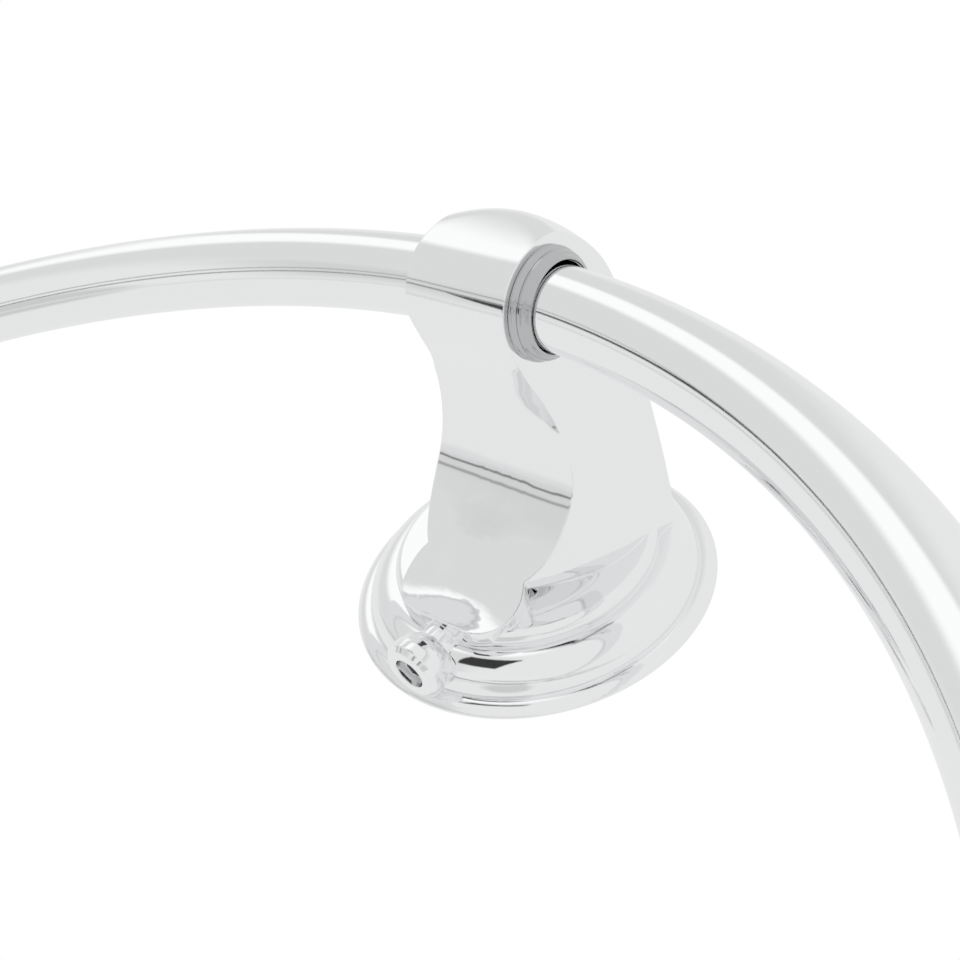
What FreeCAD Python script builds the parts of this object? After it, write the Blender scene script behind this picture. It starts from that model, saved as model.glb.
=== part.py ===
import FreeCAD, Part
import math
import os

V = FreeCAD.Vector

# Towel ring. Sizes in millimetres.
# The part is drawn on the bench: x across, y up the wall, z out of the wall,
# with z = 0 on the wall. It is stood up against the wall at the very end.

# Ring and its axis
tubeRadius = 4.75
ringRadius = 94.3
boreUp = 5.7
boreOut = 39.6

# Head of the post
headHalfWidth = 7.15
noseRadius = 7.0
columnRadius = 18.1
columnUp = 1.2
domeDrop = 7.8
crownRound = 4.0

# Bushes
bushRunClearance = 0.35
bushWall = 0.5
bushFit = 0.02
sleeveLength = 4.0
collarRadius = 6.4
collarBandLength = 0.65
collarStep = 0.35
collarLength = 2.35
plainFlangeRadius = 5.95
plainFlangeLength = 0.4

# Flange: its steps are measured inwards from the rim and up from the wall
rimRadius = 23.0
rimHeight = 0.45
rimRound = 0.3
skirtWidth = 1.7
skirtTop = 1.3
lowerBeadInset = 0.3
lowerBeadWidth = 4.4
lowerBeadTop = 5.0
grooveDepth = 0.25
upperBeadBulge = 0.15
upperBeadShoulder = 0.75
upperBeadTop = 7.0

# Hollow back of the flange
rimWall = 2.1
cavityStepWidth = 1.5
cavityStep = 1.0
flangeWall = 2.05
floorWall = 1.6
coreClearOfBore = 3.8

# Tongue that the front scoop runs out on
tongueHalfWidth = 8.6
tongueRoot = 6.1
tongueRounding = 0.49
tongueOverlap = 0.7

# Set screw and its boss
screwOut = 4.3
screwRadius = 2.0
screwHoleClearance = 0.05
screwRecess = 0.9
screwSocket = 2.0
screwSocketDepth = 1.8
screwTipRadius = 0.5
bossWall = 1.9
bossSetback = 0.4
bossBevel = 0.6
bossStraight = 1.0
bossNeck = 2.2
bossNeckWall = 0.55
bossOverlap = 0.4
threadLength = 6.9

# Wall bracket
bracketClearance = 0.6
bracketFloorClearance = 0.4
bracketUndercut = 1.9
wallHoleRadius = 2.1
wallHoleInset = 6.7
countersinkRadius = 4.0
hookClearance = 0.08
hookHalfWidth = 6.0
wallGap = 0.5

# Worked-out sizes
domeStart = boreOut - domeDrop
bushBore = tubeRadius + bushRunClearance
sleeveRadius = bushBore + bushWall
boreRadius = sleeveRadius + bushFit
bushEnd = headHalfWidth + collarLength
bushStart = headHalfWidth - sleeveLength
skirtTopRadius = rimRadius - skirtWidth
lowerBeadRadius = skirtTopRadius - lowerBeadInset
lowerBeadEnd = lowerBeadRadius - lowerBeadWidth
upperBeadRadius = lowerBeadEnd - grooveDepth
upperBeadTopRadius = upperBeadRadius - upperBeadShoulder
cavityMouthRadius = rimRadius - rimWall
cavityStepRadius = cavityMouthRadius - cavityStepWidth
cavityFloor = upperBeadTop - floorWall
cavityFloorRadius = upperBeadRadius - flangeWall
tongueReach = upperBeadTopRadius + tongueOverlap
tongueLength = tongueReach - tongueRoot
tongueCorner = tongueLength * tongueRounding
bossRadius = screwRadius + bossWall
bossFace = rimRadius - bossSetback
screwHoleRadius = screwRadius + screwHoleClearance
bossNeckRadius = screwHoleRadius + bossNeckWall
bracketRadius = cavityFloorRadius - bracketClearance
bracketThickness = cavityFloor - bracketFloorClearance
wallHoleSpacing = 2 * (bracketRadius - wallHoleInset)


def arcThrough(a, b, c):
    return Part.Arc(a, b, c).toShape()


def line(a, b):
    return Part.makeLine(a, b)


def turned(edges):
    face = Part.Face(Part.Wire(edges))
    return face.revolve(V(0, 0, 0), V(0, 0, 1), 360)


def profilePoint(radius, height):
    return V(radius, 0, height)


def roundedRectangle(centre, halfX, halfY, corner, z):
    k = corner * (1 - math.sqrt(0.5))
    x0 = centre.x - halfX
    x1 = centre.x + halfX
    y0 = centre.y - halfY
    y1 = centre.y + halfY
    edges = []
    edges.append(line(V(x0 + corner, y0, z), V(x1 - corner, y0, z)))
    edges.append(arcThrough(V(x1 - corner, y0, z), V(x1 - k, y0 + k, z), V(x1, y0 + corner, z)))
    edges.append(line(V(x1, y0 + corner, z), V(x1, y1 - corner, z)))
    edges.append(arcThrough(V(x1, y1 - corner, z), V(x1 - k, y1 - k, z), V(x1 - corner, y1, z)))
    edges.append(line(V(x1 - corner, y1, z), V(x0 + corner, y1, z)))
    edges.append(arcThrough(V(x0 + corner, y1, z), V(x0 + k, y1 - k, z), V(x0, y1 - corner, z)))
    edges.append(line(V(x0, y1 - corner, z), V(x0, y0 + corner, z)))
    edges.append(arcThrough(V(x0, y0 + corner, z), V(x0 + k, y0 + k, z), V(x0 + corner, y0, z)))
    return Part.Wire(edges)


def flangeSolid():
    k = rimRound * (1 - math.sqrt(0.5))
    h = math.sqrt(0.5)
    p0 = profilePoint(0, 0)
    p1 = profilePoint(rimRadius - rimRound, 0)
    p1m = profilePoint(rimRadius - k, k)
    p2 = profilePoint(rimRadius, rimRound)
    p3 = profilePoint(rimRadius, rimHeight)
    p3m = profilePoint(skirtTopRadius + skirtWidth * 0.6, rimHeight + (skirtTop - rimHeight) * 0.7)
    p4 = profilePoint(skirtTopRadius, skirtTop)
    p5 = profilePoint(lowerBeadRadius, skirtTop)
    beadRise = lowerBeadTop - skirtTop
    p5m = profilePoint(lowerBeadEnd + lowerBeadWidth * h, skirtTop + beadRise * h)
    p6 = profilePoint(lowerBeadEnd, lowerBeadTop)
    p7 = profilePoint(upperBeadRadius, lowerBeadTop)
    shoulder = (lowerBeadTop + upperBeadTop) / 2
    p7m = profilePoint(upperBeadRadius + upperBeadBulge, shoulder)
    p8 = profilePoint(upperBeadTopRadius, upperBeadTop)
    p9 = profilePoint(0, upperBeadTop)
    edges = [line(p0, p1), arcThrough(p1, p1m, p2), line(p2, p3)]
    edges += [arcThrough(p3, p3m, p4), line(p4, p5), arcThrough(p5, p5m, p6)]
    edges += [line(p6, p7), arcThrough(p7, p7m, p8), line(p8, p9), line(p9, p0)]
    return turned(edges)


def columnSolid():
    # turned body with a domed end, cut to shape further down
    foot = lowerBeadTop - 1.5
    p0 = profilePoint(0, foot)
    p1 = profilePoint(columnRadius, foot)
    p2 = profilePoint(columnRadius, domeStart)
    half = columnRadius * math.sqrt(0.5)
    p2m = profilePoint(half, domeStart + half)
    p3 = profilePoint(0, domeStart + columnRadius)
    column = turned([line(p0, p1), line(p1, p2), arcThrough(p2, p2m, p3), line(p3, p0)])
    column.translate(V(0, columnUp, 0))
    return column


def sideSection(z, halfWidth, frontDepth, frontUp):
    # straight sides running back, rounded at the front
    back = columnUp + columnRadius + 6
    right = V(halfWidth, frontUp, z)
    left = V(-halfWidth, frontUp, z)
    middle = V(0, frontUp, z)
    if frontDepth > halfWidth:
        ellipse = Part.Ellipse(V(0, frontUp - frontDepth, z), right, middle)
    else:
        ellipse = Part.Ellipse(right, V(0, frontUp + frontDepth, z), middle)
    start = ellipse.parameter(left)
    end = ellipse.parameter(right)
    if end <= start:
        end += 2 * math.pi
    front = Part.ArcOfEllipse(ellipse, start, end).toShape()
    edges = [front]
    edges.append(line(right, V(halfWidth, back, z)))
    edges.append(line(V(halfWidth, back, z), V(-halfWidth, back, z)))
    edges.append(line(V(-halfWidth, back, z), left))
    return Part.Wire(edges)


def heightAt(share):
    # height out of the wall, as a share of the way from the flange to the bore
    return upperBeadTop + share * (boreOut - upperBeadTop)


def sidesSolid():
    # share of the height, half width, depth of the round front, its centre
    headSide = headHalfWidth + 0.15
    sections = [
        (-0.12, 13.6, 12.0, 5.9),
        (-0.03, 13.5, 12.8, 5.8),
        (0.03, 13.3, 14.8, 5.4),
        (0.08, 13.0, 16.6, 5.1),
        (0.15, 12.5, 15.7, 4.6),
        (0.23, 11.8, 13.0, 3.6),
        (0.31, 11.1, 10.5, 3.0),
        (0.46, 9.9, 8.0, 2.2),
        (0.61, 8.8, 7.0, 0.5),
        (0.75, 7.75, 5.5, -1.5),
        (0.86, headSide, 4.5, -3.0),
        (0.98, headSide, 4.0, -3.6),
        (1.2, headSide, 4.0, -3.6),
        (1.45, headSide, 4.0, -3.6),
    ]
    wires = [sideSection(heightAt(section[0]), *section[1:]) for section in sections]
    loft = Part.makeLoft(wires, True, False, False, 3)
    return loft.common(headTrim())


def headTrim():
    # flat ends of the head, easing outwards below it
    top = domeStart + columnRadius + 8
    flatFrom = boreOut - collarRadius + 1.2
    bend = 10.0
    turn = math.radians(35)
    easeOut = headHalfWidth + bend * (1 - math.cos(turn))
    easeAt = flatFrom - bend * math.sin(turn)
    half = turn / 2
    right = [
        V(headHalfWidth, 0, top),
        V(headHalfWidth, 0, flatFrom),
        V(headHalfWidth + bend * (1 - math.cos(half)), 0, flatFrom - bend * math.sin(half)),
        V(easeOut, 0, easeAt),
        V(easeOut + easeAt * 0.5, 0, 0),
    ]
    left = [V(-p.x, 0, p.z) for p in right]
    edges = [line(left[0], right[0]), line(right[0], right[1])]
    edges += [arcThrough(right[1], right[2], right[3]), line(right[3], right[4])]
    edges += [line(right[4], left[4]), line(left[4], left[3])]
    edges += [arcThrough(left[3], left[2], left[1]), line(left[1], left[0])]
    face = Part.Face(Part.Wire(edges))
    face.translate(V(0, -60, 0))
    return face.extrude(V(0, 120, 0))


def frontCutter():
    # everything in front of the scoop, the nose and the crown of the head
    # points of the scoop: place up the wall, share of the height
    scoop = [
        (-19.5, 0.014), (-15.5, 0.018), (-12.0, 0.041), (-8.8, 0.089), (-5.7, 0.153),
        (-2.2, 0.258), (0.35, 0.365), (1.4, 0.503), (1.15, 0.663), (0.1, 0.81),
    ]
    noseStart = math.radians(-14)
    noseEnd = math.radians(84)

    def nosePoint(angle):
        up = boreUp - noseRadius * math.cos(angle)
        return V(0, up, boreOut + noseRadius * math.sin(angle))

    start = nosePoint(noseStart)
    end = nosePoint(noseEnd)
    middle = nosePoint((noseStart + noseEnd) / 2)
    points = [V(0, up, heightAt(share)) for up, share in scoop] + [start]
    curve = Part.BSplineCurve()
    startTangent = V(0, 1, 0.02)
    endTangent = V(0, math.sin(noseStart), math.cos(noseStart))
    curve.interpolate(Points=points, InitialTangent=startTangent, FinalTangent=endTangent)
    crown = V(0, columnUp + columnRadius + 4, end.z + 1.6)
    above = domeStart + columnRadius + 6
    below = boreUp - 40
    edges = [curve.toShape(), arcThrough(start, middle, end), line(end, crown)]
    edges.append(line(crown, V(0, crown.y, above)))
    edges.append(line(V(0, crown.y, above), V(0, below, above)))
    edges.append(line(V(0, below, above), V(0, below, points[0].z)))
    edges.append(line(V(0, below, points[0].z), points[0]))
    face = Part.Face(Part.Wire(edges))
    face.translate(V(-30, 0, 0))
    return face.extrude(V(60, 0, 0))


def tongueSolid():
    # rounded tongue ending on the upper bead
    middle = V(0, tongueLength / 2 - tongueReach, 0)
    wire = roundedRectangle(middle, tongueHalfWidth, tongueLength / 2, tongueCorner, cavityFloor)
    return Part.Face(wire).extrude(V(0, 0, upperBeadTop))


def alongUp(radius, start, end, out, x=0.0):
    # cylinder parallel to the wall, pointing up
    return Part.makeCylinder(radius, end - start, V(x, start, out), V(0, 1, 0))


def bracketEdge(height):
    # radius of the bracket's undercut edge at a height out of the wall
    return bracketRadius - bracketUndercut * (1 - height / bracketThickness)


def hookSolid(cavity):
    # ledge inside the flange that hangs on the upper edge of the bracket
    inner = bracketEdge(wallGap) + hookClearance
    high = bracketEdge(bracketThickness) + hookClearance
    p0 = profilePoint(inner, wallGap)
    p1 = profilePoint(rimRadius, wallGap)
    p2 = profilePoint(rimRadius, bracketThickness)
    p3 = profilePoint(high, bracketThickness)
    ledge = turned([line(p0, p1), line(p1, p2), line(p2, p3), line(p3, p0)])
    block = Part.makeBox(2 * hookHalfWidth, rimRadius, upperBeadTop, V(-hookHalfWidth, 0, 0))
    return ledge.common(block).common(cavity)


def cavitySolid():
    p0 = profilePoint(0, -1)
    p1 = profilePoint(cavityMouthRadius, -1)
    p2 = profilePoint(cavityMouthRadius, 0)
    p3 = profilePoint(cavityStepRadius, cavityStep)
    p4 = profilePoint(cavityFloorRadius, cavityFloor)
    p5 = profilePoint(0, cavityFloor)
    points = [p0, p1, p2, p3, p4, p5]
    edges = [line(a, b) for a, b in zip(points, points[1:] + points[:1])]
    return turned(edges)


def coreSolid():
    # draft core that lightens the column
    low = roundedRectangle(V(0, 6.2, 0), 8.6, 6.0, 2.5, cavityFloor - 1)
    high = roundedRectangle(V(0, 8.2, 0), 5.2, 3.6, 2.0, boreOut - boreRadius - coreClearOfBore)
    return Part.makeLoft([low, high], True, True)


def bossSolid():
    # boss on the lower bead: bevelled in front, drawn in to a neck at the back
    fullFrom = bossBevel - bossFace
    tapering = fullFrom + bossStraight
    end = -upperBeadTopRadius - bossOverlap
    neckStart = end - bossNeck
    drop = bossRadius - bossNeckRadius
    run = neckStart - tapering
    bend = (run ** 2 + drop ** 2) / (2 * drop)
    half = math.asin(run / bend) / 2
    p0 = V(0, -bossFace, 0)
    p1 = V(bossRadius - bossBevel, -bossFace, 0)
    p2 = V(bossRadius, fullFrom, 0)
    p3 = V(bossRadius, tapering, 0)
    p3m = V(bossRadius - bend * (1 - math.cos(half)), tapering + bend * math.sin(half), 0)
    p4 = V(bossNeckRadius, neckStart, 0)
    p5 = V(bossNeckRadius, end, 0)
    p6 = V(0, end, 0)
    edges = [line(p0, p1), line(p1, p2), line(p2, p3)]
    edges += [arcThrough(p3, p3m, p4), line(p4, p5), line(p5, p6), line(p6, p0)]
    boss = Part.Face(Part.Wire(edges)).revolve(V(0, 0, 0), V(0, 1, 0), 360)
    boss.translate(V(0, 0, screwOut))
    return boss.common(clearOfWall())


def threadSolid(cavity):
    # the boss carried on inside the flange, for a longer thread
    inner = alongUp(bossRadius, -bossFace, threadLength - bossFace, screwOut)
    return inner.common(cavity).common(clearOfWall())


def clearOfWall():
    span = 4 * rimRadius
    return Part.makeBox(span, span, span, V(-span / 2, -span / 2, wallGap))


def bodySolid():
    # column with its flat sides, scoop, rounded crown and tongue
    cutter = frontCutter()
    body = columnSolid().common(sidesSolid()).cut(cutter)
    crown = max(body.Edges, key=lambda e: e.BoundBox.ZMin)
    body = body.makeFillet(crownRound, [crown])
    return body.fuse(tongueSolid().cut(cutter))


def postSolid():
    cavity = cavitySolid()
    post = flangeSolid().fuse(bossSolid()).fuse(bodySolid())
    post = post.cut(cavity).cut(coreSolid())
    post = post.fuse(threadSolid(cavity)).fuse(hookSolid(cavity))
    post = post.cut(alongUp(screwHoleRadius, -rimRadius - bossRadius, -bracketRadius, screwOut))
    bore = Part.makeCylinder(boreRadius, 60, V(-30, boreUp, boreOut), V(1, 0, 0))
    post = post.cut(bore)
    for side in (-1, 1):
        seat = V(side * headHalfWidth, boreUp, boreOut)
        post = post.cut(Part.makeCylinder(collarRadius + 0.1, collarLength, seat, V(side, 0, 0)))
    return post.removeSplitter()


def sleeveOutline(flangeRadius):
    # from the inner end of the sleeve out to the flange's outer corner
    points = [
        V(bushStart, bushBore, 0),
        V(bushStart, sleeveRadius, 0),
        V(headHalfWidth, sleeveRadius, 0),
        V(headHalfWidth, flangeRadius, 0),
    ]
    return points, [line(a, b) for a, b in zip(points, points[1:])]


def turnedAcross(edges):
    solid = Part.Face(Part.Wire(edges)).revolve(V(0, 0, 0), V(1, 0, 0), 360)
    solid.translate(V(0, boreUp, boreOut))
    return solid


def collarBush():
    # sleeve with a stepped, beaded collar against the head
    points, edges = sleeveOutline(collarRadius)
    bandEnd = headHalfWidth + collarBandLength
    beadStart = V(bandEnd + collarStep, collarRadius - collarStep, 0)
    k = collarStep * math.sqrt(0.5)
    stepMiddle = V(beadStart.x - k, collarRadius - k, 0)
    corner = V(bandEnd, collarRadius, 0)
    lip = V(bushEnd, bushBore + bushFit * 5, 0)
    run = lip.x - beadStart.x
    drop = beadStart.y - lip.y
    beadMiddle = V(beadStart.x + run * math.sqrt(0.5), lip.y + drop * math.sqrt(0.5), 0)
    edges.append(line(points[-1], corner))
    edges.append(arcThrough(corner, stepMiddle, beadStart))
    edges.append(arcThrough(beadStart, beadMiddle, lip))
    edges.append(line(lip, V(bushEnd, bushBore, 0)))
    edges.append(line(V(bushEnd, bushBore, 0), points[0]))
    return turnedAcross(edges)


def plainBush():
    # sleeve with only a thin flange, for the other end of the bore
    points, edges = sleeveOutline(plainFlangeRadius)
    end = headHalfWidth + plainFlangeLength
    edges.append(line(points[-1], V(end, plainFlangeRadius, 0)))
    edges.append(line(V(end, plainFlangeRadius, 0), V(end, bushBore, 0)))
    edges.append(line(V(end, bushBore, 0), points[0]))
    return turnedAcross(edges).mirror(V(0, 0, 0), V(1, 0, 0))


def ringSolid():
    # the bend of the tube is shared out evenly over the length of the bushes
    endDrop = ringRadius - math.sqrt(ringRadius ** 2 - bushEnd ** 2)
    startDrop = ringRadius - math.sqrt(ringRadius ** 2 - bushStart ** 2)
    lift = (endDrop + startDrop) / 2
    centre = V(0, boreUp + lift - ringRadius, boreOut)
    return Part.makeTorus(ringRadius, tubeRadius, centre, V(0, 0, 1))


def screwSolid():
    # headless screw with a hexagon socket, its cone bearing on the bracket
    tip = -bracketEdge(screwOut + screwTipRadius)
    head = -bossFace + screwRecess
    cone = screwRadius - screwTipRadius
    body = alongUp(screwRadius, head, tip - cone, screwOut)
    point = Part.makeCone(screwRadius, screwTipRadius, cone, V(0, tip - cone, screwOut), V(0, 1, 0))
    corner = screwSocket / math.sqrt(3)
    hexagon = []
    for i in range(7):
        angle = math.radians(60 * i + 30)
        hexagon.append(V(corner * math.cos(angle), head - 0.5, screwOut + corner * math.sin(angle)))
    socket = Part.Face(Part.makePolygon(hexagon)).extrude(V(0, screwSocketDepth + 0.5, 0))
    return body.fuse(point).removeSplitter().cut(socket)


def bracketSolid():
    # round plate with an undercut edge and two countersunk holes
    plate = Part.makeCone(bracketEdge(0), bracketRadius, bracketThickness)
    sink = countersinkRadius - wallHoleRadius
    for side in (-1, 1):
        up = side * wallHoleSpacing / 2
        plate = plate.cut(Part.makeCylinder(wallHoleRadius, bracketThickness, V(0, up, 0)))
        sinkStart = V(0, up, bracketThickness - sink)
        plate = plate.cut(Part.makeCone(wallHoleRadius, countersinkRadius, sink, sinkStart))
    return plate


nodes = {
    "post": postSolid(),
    "bush_right": collarBush(),
    "bush_left": plainBush(),
    "ring": ringSolid(),
    "set_screw": screwSolid(),
    "wall_bracket": bracketSolid(),
}

os.makedirs("parts", exist_ok=True)
for name, shape in nodes.items():
    standing = shape.copy()
    standing.rotate(V(0, 0, 0), V(1, 0, 0), 90)
    if standing.ShapeType == "Compound" and len(standing.Solids) == 1:
        standing = standing.Solids[0]
    box = standing.BoundBox
    print(name, "solids", len(standing.Solids), "valid", standing.isValid(),
          "volume", round(standing.Volume, 1),
          "box", round(box.XMin, 2), round(box.XMax, 2), round(box.YMin, 2),
          round(box.YMax, 2), round(box.ZMin, 2), round(box.ZMax, 2))
    standing.exportStep("parts/" + name + ".step")
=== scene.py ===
import bpy
import bmesh
import math
from mathutils import Vector, Matrix, Euler


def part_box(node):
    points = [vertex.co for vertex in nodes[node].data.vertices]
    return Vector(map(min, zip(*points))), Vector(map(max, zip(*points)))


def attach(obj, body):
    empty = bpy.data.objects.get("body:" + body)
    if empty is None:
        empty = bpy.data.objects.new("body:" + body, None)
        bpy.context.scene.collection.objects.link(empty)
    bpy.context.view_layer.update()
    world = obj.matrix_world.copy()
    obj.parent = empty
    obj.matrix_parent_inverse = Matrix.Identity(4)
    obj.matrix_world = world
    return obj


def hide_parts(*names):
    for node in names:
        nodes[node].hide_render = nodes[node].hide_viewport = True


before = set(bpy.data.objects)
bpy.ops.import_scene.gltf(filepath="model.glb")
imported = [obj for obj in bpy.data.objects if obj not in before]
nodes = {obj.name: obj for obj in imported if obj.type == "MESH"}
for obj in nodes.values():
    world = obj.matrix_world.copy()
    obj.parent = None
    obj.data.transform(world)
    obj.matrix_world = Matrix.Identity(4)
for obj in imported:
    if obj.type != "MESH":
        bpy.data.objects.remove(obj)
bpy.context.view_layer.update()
mm = 0.001
upright = Matrix.Rotation(math.pi / 2, 4, "X")    # stands a flat shape up along the wall

# camera at the photograph's angle
cameraSettings = {
    "place": (0.09437, -0.11401, -0.08321),
    "turn": (129.453, -39.982, 18.124),    # degrees, XYZ
    "sensor": 36,
    "lens": 49.93,
    "shift": (0.0417, 0.0104),
    "clipStart": 0.005,
}


def makeCamera():
    s = cameraSettings
    data = bpy.data.cameras.new("photoCamera")
    data.sensor_width = s["sensor"]
    data.lens = s["lens"]
    data.shift_x, data.shift_y = s["shift"]
    data.clip_start = s["clipStart"]
    camera = bpy.data.objects.new("photoCamera", data)
    camera.location = s["place"]
    camera.rotation_euler = Euler([math.radians(turn) for turn in s["turn"]], "XYZ")
    bpy.context.scene.collection.objects.link(camera)
    bpy.context.scene.camera = camera


makeCamera()
print("camera set")


# finishes: a noise is scale and detail, a bump is strength and depth
def newMaterial(name, colour):
    material = bpy.data.materials.new(name)
    material.use_nodes = True
    shader = material.node_tree.nodes["Principled BSDF"]
    shader.inputs["Base Color"].default_value = (*colour, 1)
    return material, shader


def newMetal(name, colour):
    material, shader = newMaterial(name, colour)
    shader.inputs["Metallic"].default_value = 1
    return material, material.node_tree, shader


def addNoise(tree, scale, detail):
    place = tree.nodes.new("ShaderNodeTexCoord")
    noise = tree.nodes.new("ShaderNodeTexNoise")
    noise.inputs["Scale"].default_value = scale
    noise.inputs["Detail"].default_value = detail
    tree.links.new(place.outputs["Object"], noise.inputs["Vector"])
    return noise


def addBump(tree, shader, noise, strength, depth):
    bump = tree.nodes.new("ShaderNodeBump")
    bump.inputs["Strength"].default_value = strength
    bump.inputs["Distance"].default_value = depth
    tree.links.new(noise.outputs["Fac"], bump.inputs["Height"])
    tree.links.new(bump.outputs["Normal"], shader.inputs["Normal"])
    return bump


def addRoughness(tree, shader, noise, low, high):
    spread = tree.nodes.new("ShaderNodeMapRange")
    spread.inputs["To Min"].default_value = low
    spread.inputs["To Max"].default_value = high
    tree.links.new(noise.outputs["Fac"], spread.inputs["Value"])
    tree.links.new(spread.outputs["Result"], shader.inputs["Roughness"])


# polished by hand, so slightly wavy, and with rounded edges
chromeSettings = {
    "colour": (0.9, 0.905, 0.91),
    "waves": (60, 2),
    "bump": (0.3, 0.00003),
    "haze": (900, 3),
    "rough": (0.03, 0.06),
    "edgeRound": 0.0003,
    "edgeSamples": 6,
}


def makeChrome():
    s = chromeSettings
    material, tree, shader = newMetal("polishedChrome", s["colour"])
    bump = addBump(tree, shader, addNoise(tree, *s["waves"]), *s["bump"])
    edges = tree.nodes.new("ShaderNodeBevel")
    edges.samples = s["edgeSamples"]
    edges.inputs["Radius"].default_value = s["edgeRound"]
    tree.links.new(edges.outputs["Normal"], bump.inputs["Normal"])
    addRoughness(tree, shader, addNoise(tree, *s["haze"]), *s["rough"])
    return material


bushGreySettings = {
    "colour": (0.53, 0.535, 0.54),
    "grain": (1500, 3),
    "rough": (0.1, 0.18),
}


def makeBushGrey():
    s = bushGreySettings
    material, tree, shader = newMetal("satinBushGrey", s["colour"])
    addRoughness(tree, shader, addNoise(tree, *s["grain"]), *s["rough"])
    return material


zincSettings = {
    "colour": (0.72, 0.73, 0.74),
    "grain": (800, 4),
    "rough": (0.25, 0.45),
    "bump": (0.2, 0.00003),
}


def makeZinc():
    s = zincSettings
    material, tree, shader = newMetal("zincPlatedSteel", s["colour"])
    grain = addNoise(tree, *s["grain"])
    addRoughness(tree, shader, grain, *s["rough"])
    addBump(tree, shader, grain, *s["bump"])
    return material


chrome = makeChrome()
bushGrey = makeBushGrey()
zinc = makeZinc()
print("finishes made")


def newObject(bm, name, material):
    mesh = bpy.data.meshes.new(name)
    bm.to_mesh(mesh)
    bm.free()
    mesh.materials.append(material)
    made = bpy.data.objects.new(name, mesh)
    bpy.context.scene.collection.objects.link(made)
    return made


def finishPiece(bm, name, crease, material, body, node):
    bmesh.ops.recalc_face_normals(bm, faces=bm.faces)
    for face in bm.faces:
        face.smooth = True
    for edge in bm.edges:
        if len(edge.link_faces) == 2:
            edge.smooth = edge.calc_face_angle() < math.radians(crease)
    piece = newObject(bm, name, material)
    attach(piece, body)
    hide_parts(node)


# the ring: a bent tube, so its middle line lies a little above the axis it swings on
ringSettings = {
    "radius": 94.3 * mm,
    "tube": 4.75 * mm,
    "axisUp": 5.7 * mm,
    "axisOut": 39.6 * mm,
    "lift": 0.263 * mm,
    "turns": 320,
    "sides": 56,
    "crease": 60,
}


def makeRing():
    s = ringSettings
    bm = bmesh.new()
    bmesh.ops.create_circle(bm, segments=s["sides"], radius=s["tube"],
                            matrix=Matrix.Translation((s["radius"], 0, 0)) @ upright)
    bmesh.ops.spin(bm, geom=bm.edges[:], axis=(0, 0, 1), cent=(0, 0, 0),
                   steps=s["turns"], angle=math.tau, use_merge=True)
    hang = Matrix.Translation((0, -s["axisOut"], s["axisUp"] + s["lift"] - s["radius"]))
    bmesh.ops.transform(bm, matrix=hang @ upright, verts=bm.verts)
    finishPiece(bm, "ringTube", s["crease"], chrome, "ring_body", "ring")


makeRing()
print("ring made")

# the post keeps its solid's shape, with the slight dish of the real tongue worked into the scoop
postSettings = {
    "merge": 0.000004,
    "crease": 20,
    "dishMiddle": -9.4 * mm,
    "dishHalfAcross": 7.9 * mm,
    "dishHalfUp": 6.6 * mm,
    "dishDepth": 0.75 * mm,
    "dishGrid": 0.8 * mm,
    "cutMerge": 1e-7,
    "scoopFront": -7.3 * mm,    # the scoop's faces lie beyond this
    "scoopFacing": -0.25,       # and look out of the wall, hardly to the side
    "scoopAside": 0.08,
}


def scoopFaces(bm):
    s = postSettings
    found = []
    for face in bm.faces:
        middle = face.calc_center_median()
        inside = abs(middle.x) < s["dishHalfAcross"] + s["dishGrid"]
        inside = inside and abs(middle.z - s["dishMiddle"]) < s["dishHalfUp"] + s["dishGrid"]
        facing = face.normal.y < s["scoopFacing"] and abs(face.normal.x) < s["scoopAside"]
        if inside and facing and middle.y < s["scoopFront"]:
            found.append(face)
    return found


def cutAcross(bm, point, direction):
    faces = scoopFaces(bm)
    edges = dict.fromkeys(edge for face in faces for edge in face.edges)
    verts = dict.fromkeys(vert for face in faces for vert in face.verts)
    bmesh.ops.bisect_plane(bm, geom=[*faces, *edges, *verts], dist=postSettings["cutMerge"],
                           plane_co=point, plane_no=direction)


def dishTongue(bm):
    s = postSettings
    bm.normal_update()
    count = int(s["dishHalfAcross"] / s["dishGrid"])
    for i in range(-count, count + 1):
        cutAcross(bm, (i * s["dishGrid"], 0, 0), (1, 0, 0))
    count = int(s["dishHalfUp"] / s["dishGrid"])
    for i in range(-count, count + 1):
        cutAcross(bm, (0, 0, s["dishMiddle"] + i * s["dishGrid"]), (0, 0, 1))
    bm.normal_update()
    faces = scoopFaces(bm)
    kept = set(faces)
    moves = {}
    for vert in dict.fromkeys(vert for face in faces for vert in face.verts):
        if any(face not in kept for face in vert.link_faces):
            continue
        across = vert.co.x / s["dishHalfAcross"]
        up = (vert.co.z - s["dishMiddle"]) / s["dishHalfUp"]
        if abs(across) < 1 and abs(up) < 1:
            depth = s["dishDepth"] * (1 - across ** 2) ** 2 * (1 - up ** 2) ** 2
            moves[vert] = vert.normal * -depth
    for vert, move in moves.items():
        vert.co += move
    bmesh.ops.triangulate(bm, faces=faces)
    print("dish points", len(moves))


def makePost():
    s = postSettings
    bm = bmesh.new()
    bm.from_mesh(nodes["post"].data)
    bmesh.ops.remove_doubles(bm, verts=bm.verts, dist=s["merge"])
    dishTongue(bm)
    finishPiece(bm, "postCasting", s["crease"], chrome, "post_body", "post")


makePost()
print("post made")

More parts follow.
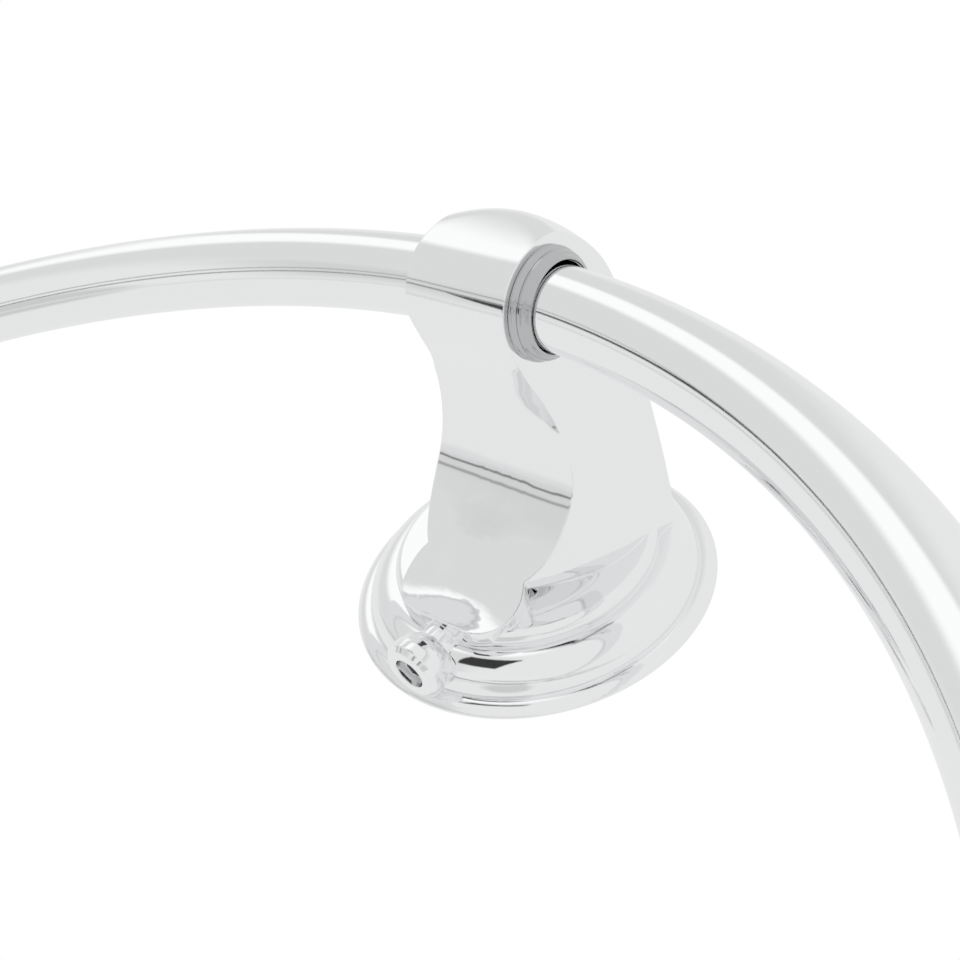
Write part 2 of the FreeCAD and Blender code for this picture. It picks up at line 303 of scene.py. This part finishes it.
# bushes: a turned outline, (out from the head's side, radius), both in mm
bushSettings = {
    "side": 7.15 * mm,
    "steps": 96,
    "round": 0.07 * mm,
    "roundSteps": 2,
    "crease": 35,
    "collar": (
        (-4, 5.1), (-4, 5.6), (0, 5.6), (0, 6.15), (0.16, 6.37), (0.42, 6.39), (0.66, 6.3),
        (0.82, 6.02), (0.96, 5.98), (1.1, 6.08), (1.38, 6.06), (1.64, 5.92), (1.76, 5.76),
        (1.84, 5.62), (2.0, 5.56), (2.2, 5.48), (2.32, 5.34), (2.34, 5.18),
        (2.24, 5.1), (2.06, 5.08), (2.0, 4.97), (1.4, 4.97), (1.05, 5.1),
    ),
    "plain": (
        (-4, 5.1), (-4, 5.6), (0, 5.6), (0, 5.94), (0.39, 5.94), (0.39, 5.1),
    ),
}


def makeBush(name, node, outline, side):
    s = bushSettings
    bm = bmesh.new()
    verts = [bm.verts.new((s["side"] + out * mm, radius * mm, 0)) for out, radius in outline]
    for start, end in zip(verts, verts[1:] + verts[:1]):
        bm.edges.new((start, end))
    bmesh.ops.bevel(bm, geom=verts, offset=s["round"], segments=s["roundSteps"], profile=0.5,
                    affect="VERTICES", clamp_overlap=True, material=-1)
    bmesh.ops.spin(bm, geom=bm.edges[:], axis=(1, 0, 0), cent=(0, 0, 0),
                   steps=s["steps"], angle=math.tau, use_merge=True)
    stand = Matrix.Translation((0, -ringSettings["axisOut"], ringSettings["axisUp"]))
    bmesh.ops.transform(bm, matrix=stand @ Matrix.Diagonal((side, 1, 1, 1)), verts=bm.verts)
    finishPiece(bm, name, s["crease"], bushGrey, "post_body", node)


makeBush("collarBush", "bush_right", bushSettings["collar"], 1)
makeBush("plainBush", "bush_left", bushSettings["plain"], -1)
print("bushes made")

# set screw: rings from the socket's floor out to its mouth and up to the cone's tip
screwSettings = {
    "sides": 48,
    "radius": 2.0 * mm,
    "root": 1.75 * mm,
    "pitch": 0.7 * mm,
    "turns": 7,
    "mouth": 1.5 * mm,
    "chamfer": 0.5 * mm,
    "socket": 2.0 * mm,    # across the hexagon's flats
    "socketDepth": 1.8 * mm,
    "tip": 0.5 * mm,
    "crease": 20,
}


def addRing(bm, height, radius, hexagon=False):
    made = bmesh.ops.create_circle(bm, segments=screwSettings["sides"], radius=radius,
                                   matrix=Matrix.Translation((0, 0, height)))
    ring = made["verts"]
    if hexagon:
        sixth = math.pi / 3
        for vert in ring:
            turn = math.atan2(vert.co.y, vert.co.x) % sixth - sixth / 2
            out = screwSettings["socket"] / 2 / math.cos(turn)
            vert.co.xy = vert.co.xy.normalized() * out
    return [edge for edge in bm.edges if edge.verts[0] in ring and edge.verts[1] in ring]


def makeScrew():
    s = screwSettings
    low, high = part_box("set_screw")
    length = high[2] - low[2]
    bm = bmesh.new()
    rings = [
        addRing(bm, s["socketDepth"], s["socket"], True),
        addRing(bm, 0, s["socket"], True),
        addRing(bm, 0, s["mouth"]),
        addRing(bm, s["chamfer"], s["radius"]),
    ]
    for turn in range(s["turns"]):
        start = s["chamfer"] + turn * s["pitch"]
        rings.append(addRing(bm, start + s["pitch"] / 2, s["root"]))
        rings.append(addRing(bm, start + s["pitch"], s["radius"]))
    rings.append(addRing(bm, length - (s["radius"] - s["tip"]), s["radius"]))
    rings.append(addRing(bm, length, s["tip"]))
    for ring, following in zip(rings, rings[1:]):
        bmesh.ops.bridge_loops(bm, edges=ring + following)
    bmesh.ops.contextual_create(bm, geom=rings[0])
    bmesh.ops.contextual_create(bm, geom=rings[-1])
    middle = ((low[0] + high[0]) / 2, (low[1] + high[1]) / 2, low[2])
    bmesh.ops.transform(bm, matrix=Matrix.Translation(middle), verts=bm.verts)
    finishPiece(bm, "hexSocketScrew", s["crease"], zinc, "post_body", "set_screw")


makeScrew()
nodes["wall_bracket"].data.materials.clear()
nodes["wall_bracket"].data.materials.append(zinc)
print("set screw made, bracket finished")

# studio: a white table behind the flange, soft light in front, pale floor.
# An edge is the two values between which one level goes over into the next.
studioSettings = {
    "floor": -0.42,
    "floorHalf": 6.0,
    "floorColour": (0.85, 0.85, 0.85),
    "floorRough": 0.8,
    "background": 1.0,    # what the camera itself sees
    "table": 0.86,        # the white table that the back faces
    "tableEdge": (-0.25, 0.05),
    "left": 0.765,
    "right": 0.865,
    "rightEdge": (-0.42, -0.14),
    "lowLeft": 0.7,       # the left darkens towards the table's edge
    "lowEdge": (0.6, 0.72),
    "window": 1.07,       # soft window, up and to the left
    "windowLow": (0.05, 0.23),
    "windowHigh": (0.47, 0.58),
    "windowLeft": (-0.92, -0.76),
    "windowRight": (-0.4, -0.16),
    "under": 0.65,        # the dark place straight below
    "underTo": (0.3, -0.05, -1),
    "underEdge": (0.95, 0.985),
    "seams": (            # the table's edges: slope, edge, share of the left's level
        (0.34, (0.015, 0.03), 0.3),
        (0.51, (0.015, 0.03), 0.5),
    ),
    "leastDown": 0.0001,
    "dark": (-0.006, -0.048, -0.0285),    # dark card that the lower bead catches
    "darkHalf": (0.010, 0.012),
    "darkColour": (0.05, 0.05, 0.05),
    "white": (0, -0.006, -0.0231),        # white card that keeps it off the skirt
    "whiteHalf": (0.0072, 0.0016),
    "whiteColour": (0, 0, 0),             # it only glows, as brightly as the table
    "whiteTurn": -24,
}


def makeFloor():
    s = studioSettings
    material, shader = newMaterial("paleFloor", s["floorColour"])
    shader.inputs["Roughness"].default_value = s["floorRough"]
    bm = bmesh.new()
    bmesh.ops.create_grid(bm, x_segments=1, y_segments=1, size=s["floorHalf"],
                          matrix=Matrix.Translation((0, 0, s["floor"])))
    floor = newObject(bm, "floor", material)
    floor.visible_glossy = False    # the chrome sees the white table instead


def makeCard(name, place, halves, colour, glow):
    # a small card in front of the flange, seen only in the chrome
    material, shader = newMaterial(name, colour)
    shader.inputs["Roughness"].default_value = 1
    shader.inputs["Emission Color"].default_value = (1, 1, 1, 1)
    shader.inputs["Emission Strength"].default_value = glow
    bm = bmesh.new()
    bmesh.ops.create_grid(bm, x_segments=1, y_segments=1, size=1,
                          matrix=place @ upright @ Matrix.Diagonal((*halves, 1, 1)))
    card = newObject(bm, name, material)
    card.visible_camera = False
    card.visible_diffuse = False
    card.visible_shadow = False


def makeCards():
    s = studioSettings
    makeCard("darkCard", Matrix.Translation(s["dark"]), s["darkHalf"], s["darkColour"], 0)
    around = Matrix.Rotation(math.radians(s["whiteTurn"]), 4, "Y")
    makeCard("whiteCard", around @ Matrix.Translation(s["white"]), s["whiteHalf"],
             s["whiteColour"], s["table"])


class WorldNodes:
    def __init__(self, tree):
        self.tree = tree

    def plug(self, socket, value):
        if isinstance(value, (int, float)):
            socket.default_value = value
        else:
            self.tree.links.new(value, socket)

    def math(self, operation, a, b=None):
        node = self.tree.nodes.new("ShaderNodeMath")
        node.operation = operation
        self.plug(node.inputs[0], a)
        if b is not None:
            self.plug(node.inputs[1], b)
        return node.outputs["Value"]

    def ramp(self, value, low, high):
        node = self.tree.nodes.new("ShaderNodeMapRange")
        node.interpolation_type = "SMOOTHSTEP"
        self.plug(node.inputs["Value"], value)
        node.inputs["From Min"].default_value = low
        node.inputs["From Max"].default_value = high
        return node.outputs["Result"]

    def mix(self, share, a, b):
        return self.math("ADD", a, self.math("MULTIPLY", share, self.math("SUBTRACT", b, a)))

    def towards(self, direction, target):
        node = self.tree.nodes.new("ShaderNodeVectorMath")
        node.operation = "DOT_PRODUCT"
        self.tree.links.new(direction, node.inputs[0])
        node.inputs[1].default_value = Vector(target).normalized()
        return node.outputs["Value"]


def makeWorld():
    s = studioSettings
    world = bpy.data.worlds.new("studio")
    bpy.context.scene.world = world
    world.use_nodes = True
    tree = world.node_tree
    n = WorldNodes(tree)
    direction = tree.nodes.new("ShaderNodeTexCoord").outputs["Generated"]
    split = tree.nodes.new("ShaderNodeSeparateXYZ")
    tree.links.new(direction, split.inputs["Vector"])
    x, y, z = (split.outputs[name] for name in "XYZ")
    down = n.math("MULTIPLY", z, -1)
    out = n.math("MULTIPLY", y, -1)
    level = n.mix(n.ramp(down, *s["lowEdge"]), s["left"], s["lowLeft"])
    level = n.mix(n.ramp(x, *s["rightEdge"]), level, s["right"])
    level = n.mix(n.ramp(y, *s["tableEdge"]), level, s["table"])
    height = n.math("SUBTRACT", n.ramp(z, *s["windowLow"]), n.ramp(z, *s["windowHigh"]))
    across = n.math("SUBTRACT", n.ramp(x, *s["windowLeft"]), n.ramp(x, *s["windowRight"]))
    front = n.math("SUBTRACT", 1, n.ramp(y, *s["tableEdge"]))
    window = n.math("MULTIPLY", height, n.math("MULTIPLY", across, front))
    level = n.mix(window, level, s["window"])
    under = n.ramp(n.towards(direction, s["underTo"]), *s["underEdge"])
    level = n.mix(under, level, s["under"])
    slope = n.math("DIVIDE", out, n.math("MAXIMUM", down, s["leastDown"]))
    for place, edge, share in s["seams"]:
        off = n.math("ABSOLUTE", n.math("SUBTRACT", slope, place))
        seam = n.math("SUBTRACT", 1, n.ramp(off, *edge))
        level = n.mix(seam, level, s["left"] * share)
    path = tree.nodes.new("ShaderNodeLightPath")
    level = n.mix(path.outputs["Is Camera Ray"], level, s["background"])
    background = tree.nodes["Background"]
    background.inputs["Color"].default_value = (1, 1, 1, 1)
    tree.links.new(level, background.inputs["Strength"])


makeFloor()
makeCards()
makeWorld()
bpy.context.scene.view_settings.view_transform = "Standard"
print("studio made")
